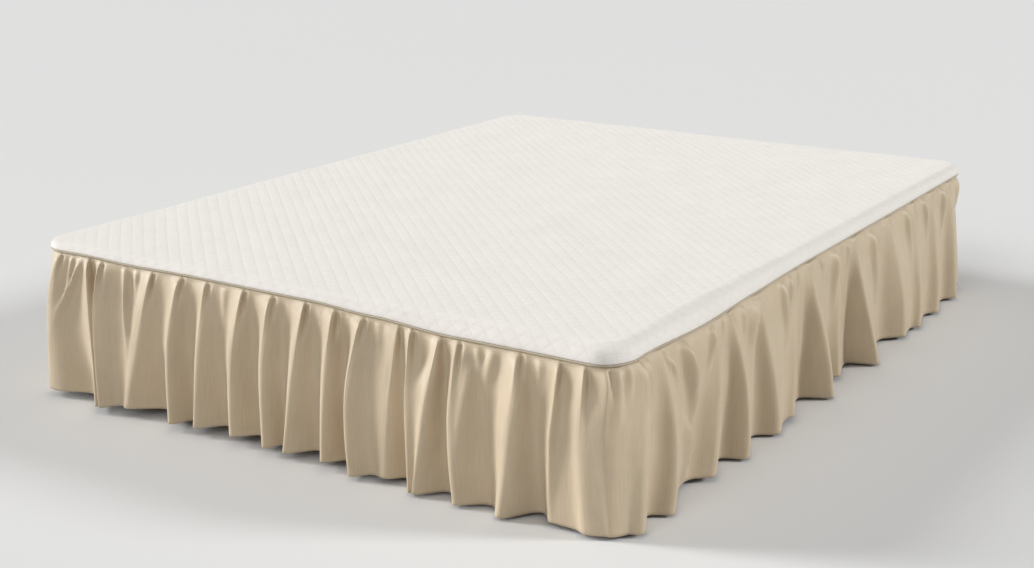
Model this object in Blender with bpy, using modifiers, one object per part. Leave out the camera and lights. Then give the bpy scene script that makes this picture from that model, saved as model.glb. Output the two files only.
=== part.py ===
"""Quilted mattress protector with a gathered skirt, fitted over a plain mattress and bed base.

Metres, +Z up. The origin is on the floor under the middle of the bed, +Y runs to the head end
and +X to the right side. Places along the bed's outline are measured from the left corner of the
foot: along the foot, up the right side, along the head and down the left side.
"""
import bisect
import math
from typing import NamedTuple

import bmesh
import bpy

# The bed
BED_WIDTH = 1.500
BED_LENGTH = 2.000
CORNER_RADIUS = 0.060
MATTRESS_HEIGHT = 0.183
MATTRESS_EDGE_RADIUS = 0.028
BASE_HEIGHT = 0.186
BASE_INSET = 0.080
BASE_CORNER_RADIUS = 0.020
PART_GAP = 0.0003
MATTRESS_ROUND_SEGMENTS = 5
BASE_ROUND_SEGMENTS = 2
BLOCK_SMOOTH_ANGLE = 35.0

# The quilted panel
PANEL_THICKNESS = 0.0040
QUILT_PUFF = 0.0035
QUILT_PITCH = 0.0430
CORNER_CELLS = 2
PANEL_ROLL_RADIUS = 0.018
EDGE_CLEARANCE = 0.0020
ROLL_RINGS = 3
LIP_BULGE = 0.0030

# The seam cord
PIPING_RADIUS = 0.0020
SEAM_GAP = 0.0008

# The skirt
SKIRT_THICKNESS = 0.0015
HEADING_DEPTH = 0.012
CREST_SHARPNESS = 1.35
FREE_LEVEL = 0.45
SHOULDER_RATE = 5.0
SHOULDER_SHARE = 0.72
SEAM_VALLEY = 0.46
HEM_VALLEY = 0.68
HALF_OUTLINE = BED_WIDTH + BED_LENGTH
FULL_OUTLINE = 2 * HALF_OUTLINE


class Fold(NamedTuple):
    """One gather of the skirt, all in metres.

    seam: place of its crest along the outline at the seam.
    middle: place of its crest half way down.
    hem: place of its crest at the hem.
    reach: how far the crest stands out from the mattress side at the hem.
    dip: how far the hollow after it stands out there, less than nothing where it swings in.
    lift: height of the hem above the floor at the crest.
    """

    seam: float
    middle: float
    hem: float
    reach: float
    dip: float
    lift: float


class SeamPoint(NamedTuple):
    """Height of the seam at a place along the outline, both in metres."""

    place: float
    height: float


# The gathers along the foot and the right side
VISIBLE_FOLDS = (
    Fold(seam=0.060, middle=0.020, hem=-0.004, reach=0.038, dip=-0.014, lift=0.018),
    Fold(seam=0.172, middle=0.180, hem=0.188, reach=0.046, dip=0.018, lift=0.018),
    Fold(seam=0.343, middle=0.303, hem=0.261, reach=0.030, dip=-0.022, lift=0.024),
    Fold(seam=0.429, middle=0.408, hem=0.405, reach=0.042, dip=-0.008, lift=0.020),
    Fold(seam=0.503, middle=0.488, hem=0.472, reach=0.036, dip=-0.012, lift=0.022),
    Fold(seam=0.605, middle=0.585, hem=0.580, reach=0.038, dip=-0.010, lift=0.026),
    Fold(seam=0.684, middle=0.671, hem=0.674, reach=0.042, dip=0.000, lift=0.021),
    Fold(seam=0.771, middle=0.750, hem=0.725, reach=0.038, dip=-0.012, lift=0.018),
    Fold(seam=0.849, middle=0.838, hem=0.830, reach=0.040, dip=-0.014, lift=0.022),
    Fold(seam=0.920, middle=0.900, hem=0.909, reach=0.048, dip=0.020, lift=0.011),
    Fold(seam=1.008, middle=0.990, hem=0.978, reach=0.026, dip=-0.012, lift=0.014),
    Fold(seam=1.074, middle=1.068, hem=1.061, reach=0.048, dip=0.000, lift=0.008),
    Fold(seam=1.150, middle=1.149, hem=1.166, reach=0.047, dip=0.008, lift=0.008),
    Fold(seam=1.288, middle=1.287, hem=1.268, reach=0.050, dip=-0.010, lift=0.006),
    Fold(seam=1.377, middle=1.367, hem=1.372, reach=0.022, dip=0.016, lift=0.011),
    Fold(seam=1.432, middle=1.438, hem=1.452, reach=0.032, dip=0.030, lift=0.008),
    Fold(seam=1.478, middle=1.482, hem=1.492, reach=0.034, dip=0.030, lift=0.008),
    Fold(seam=1.562, middle=1.550, hem=1.537, reach=0.045, dip=0.004, lift=0.008),
    Fold(seam=1.645, middle=1.675, hem=1.645, reach=0.046, dip=-0.002, lift=0.006),
    Fold(seam=1.915, middle=1.885, hem=1.848, reach=0.038, dip=0.000, lift=0.012),
    Fold(seam=1.953, middle=1.988, hem=1.982, reach=0.051, dip=0.002, lift=0.007),
    Fold(seam=2.088, middle=2.132, hem=2.150, reach=0.048, dip=0.030, lift=0.007),
    Fold(seam=2.302, middle=2.266, hem=2.250, reach=0.038, dip=-0.006, lift=0.014),
    Fold(seam=2.372, middle=2.395, hem=2.434, reach=0.060, dip=-0.002, lift=0.006),
    Fold(seam=2.566, middle=2.560, hem=2.570, reach=0.022, dip=-0.006, lift=0.012),
    Fold(seam=2.652, middle=2.664, hem=2.722, reach=0.063, dip=-0.001, lift=0.006),
    Fold(seam=2.882, middle=2.936, hem=2.968, reach=0.046, dip=0.033, lift=0.009),
    Fold(seam=3.070, middle=3.074, hem=3.070, reach=0.052, dip=0.024, lift=0.009),
    Fold(seam=3.214, middle=3.222, hem=3.228, reach=0.048, dip=0.017, lift=0.008),
    Fold(seam=3.365, middle=3.372, hem=3.395, reach=0.045, dip=0.000, lift=0.008),
)

# The seam rises and dips along the edge
SEAM_POINTS = (
    SeamPoint(place=0.00, height=0.356),
    SeamPoint(place=0.15, height=0.357),
    SeamPoint(place=0.28, height=0.354),
    SeamPoint(place=0.45, height=0.356),
    SeamPoint(place=0.78, height=0.354),
    SeamPoint(place=0.95, height=0.346),
    SeamPoint(place=1.13, height=0.336),
    SeamPoint(place=1.30, height=0.336),
    SeamPoint(place=1.46, height=0.335),
    SeamPoint(place=1.60, height=0.339),
    SeamPoint(place=1.84, height=0.330),
    SeamPoint(place=2.06, height=0.337),
    SeamPoint(place=2.31, height=0.342),
    SeamPoint(place=2.90, height=0.343),
    SeamPoint(place=3.50, height=0.346),
    SeamPoint(place=4.10, height=0.341),
    SeamPoint(place=4.90, height=0.346),
    SeamPoint(place=5.60, height=0.342),
    SeamPoint(place=6.40, height=0.347),
    SeamPoint(place=6.80, height=0.350),
)

# Levels down the skirt, as shares of its drop below the heading
SKIRT_LEVELS = (0.0, 0.05, 0.15, 0.45, 1.0)
# Columns between a crest and the valley beside it, as shares of that distance
FLANK_SHARES = (0.0, 0.30, 0.62)

PANEL_UNDERSIDE = BASE_HEIGHT + PART_GAP + MATTRESS_HEIGHT + PART_GAP
PANEL_TOP = PANEL_UNDERSIDE + PANEL_THICKNESS

# Finishes: base colour, roughness, metallic
FINISHES = {
    "panel_cotton": ((0.830, 0.800, 0.735), 0.85, 0.0),
    "seam_cord": ((0.330, 0.285, 0.215), 0.80, 0.0),
    "skirt_cotton": ((0.490, 0.410, 0.300), 0.62, 0.0),
    "mattress_ticking": ((0.780, 0.770, 0.740), 0.90, 0.0),
    "base_wood": ((0.420, 0.300, 0.190), 0.55, 0.0),
}


def clear_scene():
    """Remove every object of the open scene."""
    for item in list(bpy.data.objects):
        bpy.data.objects.remove(item, do_unlink=True)


def make_material(name):
    """Return the Principled material of one finish."""
    colour, roughness, metallic = FINISHES[name]
    material = bpy.data.materials.new(name)
    material.use_nodes = True
    shader = material.node_tree.nodes["Principled BSDF"]
    shader.inputs["Base Color"].default_value = (*colour, 1.0)
    shader.inputs["Roughness"].default_value = roughness
    shader.inputs["Metallic"].default_value = metallic
    material.diffuse_color = (*colour, 1.0)
    return material


def mesh_object(name, bm, finish, collection, smooth_angle=None):
    """Turn a bmesh into a named object in the collection."""
    bmesh.ops.recalc_face_normals(bm, faces=bm.faces)
    mesh = bpy.data.meshes.new(name)
    bm.to_mesh(mesh)
    bm.free()
    mesh.materials.append(make_material(finish))
    if smooth_angle is not None:
        mesh.shade_smooth()
        mesh.set_sharp_from_angle(angle=math.radians(smooth_angle))
    item = bpy.data.objects.new(name, mesh)
    collection.objects.link(item)
    return item


def smooth_between(low, high, share):
    """Ease from low to high as share goes from 0 to 1."""
    eased = share * share * (3 - 2 * share)
    return low + (high - low) * eased


def smooth_seam_height(place):
    """Height of the seam at a place along the outline, eased between the seam points."""
    points = [*SEAM_POINTS, SEAM_POINTS[0]._replace(place=FULL_OUTLINE)]
    for before, after in zip(points, points[1:]):
        if place <= after.place:
            share = (place - before.place) / (after.place - before.place)
            return smooth_between(before.height, after.height, share)
    return points[-1].height


def side_places(length):
    """Places of the quilt's lines along one side, closer together round its corners."""
    corner = [CORNER_RADIUS * step / CORNER_CELLS for step in range(CORNER_CELLS)]
    straight = length - 2 * CORNER_RADIUS
    # An even count makes the diamonds meet the far corner as they do the near one
    count = 2 * round(straight / QUILT_PITCH / 2)
    middle = [CORNER_RADIUS + straight * step / count for step in range(count + 1)]
    far = [length - place for place in reversed(corner)]
    return corner + middle + far


FOOT_PLACES = side_places(BED_WIDTH)
SIDE_PLACES = side_places(BED_LENGTH)
QUILT_COLUMNS = len(FOOT_PLACES) - 1
QUILT_ROWS = len(SIDE_PLACES) - 1


def outline_places():
    """Places where a line of the quilt meets the outline, all the way round."""
    places = []
    start = 0.0
    for side in (FOOT_PLACES, SIDE_PLACES, FOOT_PLACES, SIDE_PLACES):
        places += [start + place for place in side[:-1]]
        start += side[-1]
    return places


OUTLINE_PLACES = outline_places()


def seam_height(place):
    """Height of the seam at a place along the outline, straight between the quilt's lines."""
    place = place % FULL_OUTLINE
    after = bisect.bisect_right(OUTLINE_PLACES, place)
    low = OUTLINE_PLACES[after - 1]
    high = OUTLINE_PLACES[after] if after < len(OUTLINE_PLACES) else FULL_OUTLINE
    share = (place - low) / (high - low)
    return smooth_seam_height(low) * (1 - share) + smooth_seam_height(high) * share


def outline_point(place, reach):
    """Find a plan point on the bed's outline.

    place runs along the four sides as if the corners were square, and near a corner it goes
    round the corner's arc. reach is the distance outside the mattress side. Returns x and y.
    """
    place = place % FULL_OUTLINE
    sides = (
        (BED_WIDTH, 0.0, (-BED_WIDTH / 2, -BED_LENGTH / 2)),
        (BED_LENGTH, 90.0, (BED_WIDTH / 2, -BED_LENGTH / 2)),
        (BED_WIDTH, 180.0, (BED_WIDTH / 2, BED_LENGTH / 2)),
        (BED_LENGTH, 270.0, (-BED_WIDTH / 2, BED_LENGTH / 2)),
    )
    for length, heading, start in sides:
        if place <= length:
            break
        place -= length
    turn = math.radians(heading)
    near_start = max(CORNER_RADIUS - place, 0.0) / CORNER_RADIUS
    near_end = max(place - (length - CORNER_RADIUS), 0.0) / CORNER_RADIUS
    lean = math.radians(45.0) * (near_end - near_start)
    along = min(max(place, CORNER_RADIUS), length - CORNER_RADIUS)
    along += (CORNER_RADIUS + reach) * math.sin(lean)
    inward = CORNER_RADIUS - (CORNER_RADIUS + reach) * math.cos(lean)
    x = start[0] + along * math.cos(turn) - inward * math.sin(turn)
    y = start[1] + along * math.sin(turn) + inward * math.cos(turn)
    return x, y


def edge_roll(travel, radius, reach, top):
    """Follow the cloth over the mattress edge.

    travel is the distance along the cloth from where it starts to bend. Returns the distance
    outside the mattress side and the height.
    """
    quarter = radius * math.pi / 2
    if travel <= quarter:
        angle = travel / radius
        return reach - radius * (1 - math.sin(angle)), top - radius * (1 - math.cos(angle))
    return reach, top - radius - (travel - quarter)


def travel_to_height(height, radius, top):
    """Distance along the cloth over the edge until it has come down to a height."""
    fall = top - height
    if fall < radius:
        return radius * math.acos(1 - fall / radius)
    return radius * math.pi / 2 + fall - radius


def grid_border(columns, rows):
    """List the border points of a grid in order round the outline, as column and row."""
    foot = [(i, 0) for i in range(columns)]
    right = [(columns, j) for j in range(rows)]
    head = [(columns - i, rows) for i in range(columns)]
    left = [(0, rows - j) for j in range(rows)]
    return foot + right + head + left


def panel_ring(bm, ring, outer):
    """Add one ring of points where the panel rolls over the edge.

    ring counts down from the flat top, and outer picks the upper or the lower face.
    """
    radius = PANEL_ROLL_RADIUS + (PANEL_THICKNESS if outer else 0.0)
    reach = EDGE_CLEARANCE + (PANEL_THICKNESS if outer else 0.0)
    top = PANEL_TOP if outer else PANEL_UNDERSIDE
    points = []
    for index, place in enumerate(OUTLINE_PLACES):
        rim = seam_height(place) + PIPING_RADIUS + PART_GAP
        travel = travel_to_height(rim, radius, top) * ring / ROLL_RINGS
        out, height = edge_roll(travel, radius, reach, top)
        if outer and 0 < ring < ROLL_RINGS and (index + ring) % 2:
            angle = min(travel / radius, math.pi / 2)
            out += QUILT_PUFF * math.sin(angle)
            height += QUILT_PUFF * math.cos(angle)
        if outer and ring == ROLL_RINGS - 1:
            out += LIP_BULGE
        points.append(bm.verts.new((*outline_point(place, out), height)))
    return points


def quilted_top(bm, border):
    """Add the flat quilted top inside its border ring.

    Every second point is puffed up, and the others lie on the stitch lines, which run
    diagonally between them.
    """
    known = dict(zip(grid_border(QUILT_COLUMNS, QUILT_ROWS), border))
    shrink = PANEL_ROLL_RADIUS - EDGE_CLEARANCE
    for column in range(1, QUILT_COLUMNS):
        for row in range(1, QUILT_ROWS):
            x = (FOOT_PLACES[column] - BED_WIDTH / 2) * (1 - 2 * shrink / BED_WIDTH)
            y = (SIDE_PLACES[row] - BED_LENGTH / 2) * (1 - 2 * shrink / BED_LENGTH)
            puff = QUILT_PUFF if (column + row) % 2 else 0.0
            known[column, row] = bm.verts.new((x, y, PANEL_TOP + puff))
    for column in range(QUILT_COLUMNS):
        for row in range(QUILT_ROWS):
            a, b = known[column, row], known[column + 1, row]
            c, d = known[column + 1, row + 1], known[column, row + 1]
            if (column + row) % 2:
                bm.faces.new((a, b, d))
                bm.faces.new((b, c, d))
            else:
                bm.faces.new((a, b, c))
                bm.faces.new((a, c, d))


def bridge(bm, upper, lower):
    """Join two closed rings of points of equal length with quads."""
    for index in range(len(upper)):
        after = (index + 1) % len(upper)
        bm.faces.new((upper[index], lower[index], lower[after], upper[after]))


def build_top_panel(collection):
    """The quilted panel: a flat quilted top, a rolled edge all round and a plain underside."""
    bm = bmesh.new()
    outer = [panel_ring(bm, ring, outer=True) for ring in range(ROLL_RINGS + 1)]
    inner = [panel_ring(bm, ring, outer=False) for ring in range(ROLL_RINGS + 1)]
    quilted_top(bm, outer[0])
    bm.faces.new(inner[0])
    for rings in (outer, inner):
        for upper, lower in zip(rings, rings[1:]):
            bridge(bm, upper, lower)
    bridge(bm, outer[-1], inner[-1])
    return mesh_object("top_panel", bm, "panel_cotton", collection)


def build_piping(collection):
    """The cord in the seam: a closed tube that follows the seam's height."""
    curve = bpy.data.curves.new("piping_path", "CURVE")
    curve.dimensions = "3D"
    curve.bevel_depth = PIPING_RADIUS
    curve.bevel_resolution = 0
    spline = curve.splines.new("POLY")
    spline.points.add(len(OUTLINE_PLACES) - 1)
    for point, place in zip(spline.points, OUTLINE_PLACES):
        x, y = outline_point(place, EDGE_CLEARANCE + PIPING_RADIUS)
        point.co = (x, y, seam_height(place), 1.0)
    spline.use_cyclic_u = True
    curve.materials.append(make_material("seam_cord"))
    item = bpy.data.objects.new("piping", curve)
    collection.objects.link(item)
    return item


def moved_on(fold, distance):
    """Return the same gather further along the outline."""
    return fold._replace(seam=fold.seam + distance, middle=fold.middle + distance, hem=fold.hem + distance)


def all_folds():
    """The gathers all round: the seen ones, and again half way round for the hidden sides."""
    return [*VISIBLE_FOLDS, *[moved_on(fold, HALF_OUTLINE) for fold in VISIBLE_FOLDS]]


class Column(NamedTuple):
    """One line of points down the skirt, between two gathers.

    before, after: the gathers on either side of it. rising: whether it lies between the valley
    and the gather after it. flank: 0 on the crest that it belongs to and 1 in the valley.
    """

    before: Fold
    after: Fold
    rising: bool
    flank: float


def skirt_columns():
    """Columns of the skirt, from each crest to the next."""
    folds = all_folds()
    closing = moved_on(folds[0], FULL_OUTLINE)
    columns = []
    for before, after in zip(folds, [*folds[1:], closing]):
        columns += [Column(before, after, False, flank) for flank in (*FLANK_SHARES, 1.0)]
        columns += [Column(before, after, True, flank) for flank in reversed(FLANK_SHARES[1:])]
    return columns


def crest_place(fold, level):
    """Place of a crest at a level, on a smooth line through its three places."""
    upper = fold.seam * (1 - level) * (1 - 2 * level)
    lower = fold.hem * level * (2 * level - 1)
    return upper + fold.middle * 4 * level * (1 - level) + lower


def share_between(column, level):
    """How far a column lies on the way from the crest before it to the one after it."""
    valley = SEAM_VALLEY + (HEM_VALLEY - SEAM_VALLEY) * level
    if column.rising:
        return 1 - (1 - valley) * column.flank
    return valley * column.flank


def skirt_reach(column, level):
    """How far the middle of the cloth stands out from the mattress side on one column."""
    inner = EDGE_CLEARANCE + SKIRT_THICKNESS
    free = max(level - FREE_LEVEL, 0.0) / (1 - FREE_LEVEL)
    shoulder = 1 - math.exp(-SHOULDER_RATE * level)
    shoulder *= SHOULDER_SHARE + (1 - SHOULDER_SHARE) * level
    owner = column.after if column.rising else column.before
    crest = inner + (owner.reach - inner) * shoulder
    bowed = column.before.dip - inner
    hollow = inner + bowed * (free if bowed < 0 else shoulder)
    height = (0.5 + 0.5 * math.cos(math.pi * column.flank)) ** CREST_SHARPNESS
    return hollow + (crest - hollow) * height


def skirt_place(column, level):
    """Place along the outline, and height of the middle of the cloth, on one column."""
    share = share_between(column, level)
    start = crest_place(column.before, level)
    end = crest_place(column.after, level)
    place = start + (end - start) * share
    heading = seam_height(place) - PIPING_RADIUS - SEAM_GAP - HEADING_DEPTH
    lift = smooth_between(column.before.lift, column.after.lift, share)
    return place, heading + (lift - heading) * level


def build_skirt(collection):
    """The gathered skirt: an open ring of folded cloth given its thickness by Solidify."""
    bm = bmesh.new()
    columns = skirt_columns()
    rows = []
    heading = []
    for column in columns:
        place, height = skirt_place(column, 0.0)
        x, y = outline_point(place, EDGE_CLEARANCE + SKIRT_THICKNESS)
        heading.append(bm.verts.new((x, y, height + HEADING_DEPTH)))
    rows.append(heading)
    for level in SKIRT_LEVELS:
        row = []
        for column in columns:
            place, height = skirt_place(column, level)
            x, y = outline_point(place, skirt_reach(column, level))
            row.append(bm.verts.new((x, y, height)))
        rows.append(row)
    for upper, lower in zip(rows, rows[1:]):
        bridge(bm, upper, lower)
    item = mesh_object("skirt", bm, "skirt_cotton", collection)
    thicken = item.modifiers.new("cloth", "SOLIDIFY")
    thicken.thickness = SKIRT_THICKNESS
    thicken.offset = 0.0
    return item


def build_block(name, size, underside, corner_radius, edge_radius, segments, finish, collection):
    """A block with rounded upright corners and rounded upper and lower edges."""
    bm = bmesh.new()
    bmesh.ops.create_cube(bm, size=1.0)
    bmesh.ops.scale(bm, vec=size, verts=bm.verts)
    bmesh.ops.translate(bm, vec=(0, 0, underside + size[2] / 2), verts=bm.verts)
    upright = [e for e in bm.edges if abs(e.verts[0].co.z - e.verts[1].co.z) > size[2] / 2]
    bmesh.ops.bevel(bm, geom=upright, offset=corner_radius, segments=segments, profile=0.5, affect="EDGES")
    if edge_radius > 0:
        rims = [e for e in bm.edges if abs(e.verts[0].co.z - e.verts[1].co.z) < size[2] / 2]
        bmesh.ops.bevel(bm, geom=rims, offset=edge_radius, segments=segments, profile=0.5, affect="EDGES")
    return mesh_object(name, bm, finish, collection, smooth_angle=BLOCK_SMOOTH_ANGLE)


def build_bed(collection):
    """The plain base on the floor and the mattress on it."""
    base_size = (BED_WIDTH - 2 * BASE_INSET, BED_LENGTH - 2 * BASE_INSET, BASE_HEIGHT)
    build_block("bed_base", base_size, 0.0, BASE_CORNER_RADIUS, 0.0, BASE_ROUND_SEGMENTS,
                "base_wood", collection)
    mattress_size = (BED_WIDTH, BED_LENGTH, MATTRESS_HEIGHT)
    underside = BASE_HEIGHT + PART_GAP
    build_block("mattress", mattress_size, underside, CORNER_RADIUS, MATTRESS_EDGE_RADIUS,
                MATTRESS_ROUND_SEGMENTS, "mattress_ticking", collection)


def main():
    """Build the bed and the protector on it."""
    clear_scene()
    collection = bpy.data.collections.new("mattress_protector")
    bpy.context.scene.collection.children.link(collection)
    build_bed(collection)
    build_top_panel(collection)
    build_piping(collection)
    build_skirt(collection)


main()
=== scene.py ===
"""Looks of the mattress protector: a quilted panel, a seam cord and a gathered skirt on a plain bed.

Metres, +Z up. The origin is on the floor under the middle of the bed, +Y runs to the head end and +X
to the right side. A place is a distance along the bed's outline from the left corner of the foot:
along the foot, up the right side, along the head and down the left side. A reach is how far a point
stands outside the mattress side. A level runs from 0 at the skirt's heading to 1 at its hem.
"""
import logging
import math
from dataclasses import dataclass
from enum import Enum
from typing import NamedTuple, Sequence, Union

import bpy
import numpy as np
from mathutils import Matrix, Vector, noise


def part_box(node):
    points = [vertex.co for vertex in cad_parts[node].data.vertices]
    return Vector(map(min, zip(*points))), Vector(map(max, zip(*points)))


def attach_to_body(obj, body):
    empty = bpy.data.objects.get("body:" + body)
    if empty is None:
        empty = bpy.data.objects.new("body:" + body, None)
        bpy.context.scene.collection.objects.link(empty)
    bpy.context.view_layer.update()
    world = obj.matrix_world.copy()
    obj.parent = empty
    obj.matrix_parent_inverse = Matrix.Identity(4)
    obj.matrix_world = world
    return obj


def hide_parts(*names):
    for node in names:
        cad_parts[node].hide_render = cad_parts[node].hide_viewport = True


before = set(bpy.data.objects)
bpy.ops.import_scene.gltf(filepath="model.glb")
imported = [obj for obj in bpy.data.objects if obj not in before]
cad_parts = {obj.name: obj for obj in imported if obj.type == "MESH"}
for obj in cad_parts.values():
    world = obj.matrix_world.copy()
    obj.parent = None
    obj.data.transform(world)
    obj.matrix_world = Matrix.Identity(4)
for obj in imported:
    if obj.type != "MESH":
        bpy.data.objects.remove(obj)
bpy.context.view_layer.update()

LOG = logging.getLogger("mattress_protector")
BODY = "root"

# Gap between the panel and the mattress, and a step that spreads a row of numbers evenly over 0 to 1
CLOTH_GAP = 0.0003
EVEN_STEP = 0.618

Socket = bpy.types.NodeSocket
Value = Union[float, Sequence[float], Socket]
Numbers = Union[float, np.ndarray]
Colour = tuple[float, float, float]
Faces = list[list[int]]
Pair = tuple[np.ndarray, np.ndarray]


class Slot(Enum):
    """Material slots of the record."""

    PANEL = "panel_cotton"
    CORD = "seam_cord"
    SKIRT = "skirt_cotton"
    MATTRESS = "mattress_ticking"


class Held(Enum):
    """Ways in which a sheet of cloth is held."""

    STRETCHED = "stretched"
    GATHERED = "gathered"


def ease(share: Numbers) -> Numbers:
    """Ease from 0 to 1 with no kink at either end.

    Args:
        share: Values, held between 0 and 1 first.

    Returns:
        The eased values.
    """
    held = np.clip(share, 0.0, 1.0)
    return held * held * (3.0 - 2.0 * held)


def between(start: Numbers, end: Numbers, share: Numbers) -> Numbers:
    """Value that lies a share of the way from start to end."""
    return start + (end - start) * share


def soft_noise(first: np.ndarray, second: np.ndarray, seed: float) -> np.ndarray:
    """Smooth noise between about -1 and 1 for pairs of coordinates.

    Args:
        first: First coordinate of each point, already scaled.
        second: Second coordinate of each point, of the same shape.
        seed: Chooses one of many different patterns.

    Returns:
        The noise at each point.
    """
    pairs = zip(first.ravel(), second.ravel())
    values = np.array([noise.noise(Vector((a, b, seed))) for a, b in pairs])
    return values.reshape(first.shape)


def round_noise(place: np.ndarray, full: float, waves: float, down: np.ndarray, seed: float) -> np.ndarray:
    """Smooth noise that joins up with itself after one turn round the bed.

    Args:
        place: Places along the outline.
        full: Length of the whole outline.
        waves: Waves of the noise per metre.
        down: Second coordinate of each point, already scaled.
        seed: Chooses one of many different patterns.

    Returns:
        The noise at each point.
    """
    turn = place / full * 2.0 * math.pi
    radius = full * waves / (2.0 * math.pi)
    xs = (np.cos(turn) * radius).ravel()
    ys = (np.sin(turn) * radius).ravel()
    points = zip(xs, ys, down.ravel())
    values = np.array([noise.noise(Vector((x, y, z + seed))) for x, y, z in points])
    return values.reshape(place.shape)


def mesh_piece(name: str, points: np.ndarray, faces: Faces, uvs: np.ndarray) -> bpy.types.Object:
    """Make an object from points and faces, with one UV pair for each point.

    Args:
        name: Name of the piece.
        points: Point coordinates, one row each.
        faces: Point numbers of each face.
        uvs: UV pair of each point, one row each.

    Returns:
        The new object, smoothly shaded.
    """
    mesh = bpy.data.meshes.new(name)
    mesh.from_pydata(points.tolist(), [], faces)
    layer = mesh.uv_layers.new(name="cloth")
    loops = np.empty(len(mesh.loops), dtype=np.int32)
    mesh.loops.foreach_get("vertex_index", loops)
    layer.data.foreach_set("uv", uvs[loops].astype(np.float32).ravel())
    mesh.shade_smooth()
    mesh.update()
    piece = bpy.data.objects.new(name, mesh)
    bpy.context.scene.collection.objects.link(piece)
    return piece


def choose(piece: bpy.types.Object) -> None:
    """Select one object alone and make it active.

    Args:
        piece: The object.
    """
    bpy.ops.object.select_all(action="DESELECT")
    piece.select_set(True)
    bpy.context.view_layer.objects.active = piece


def ring_quads(upper: np.ndarray, lower: np.ndarray) -> Faces:
    """Quads between two closed rings of points.

    Args:
        upper: Point numbers of one ring.
        lower: Point numbers of the other ring, of the same length.

    Returns:
        The quads, which face outwards where lower lies outside or below upper.
    """
    after_upper = np.roll(upper, -1)
    after_lower = np.roll(lower, -1)
    return np.stack([upper, lower, after_lower, after_upper], axis=1).tolist()


def attach(piece: bpy.types.Object, slot: Slot, *nodes: str) -> None:
    """Let a piece ride on the bed and hide the solids that it stands for.

    Args:
        piece: The finished piece.
        slot: Material slot of the record; not used.
        nodes: Names of the replaced solids.
    """
    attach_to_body(piece, BODY)
    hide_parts(*nodes)


def shaded(colour: Colour, share: float) -> Colour:
    """Scale a colour's three parts by a share."""
    return tuple(part * share for part in colour)


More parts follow.
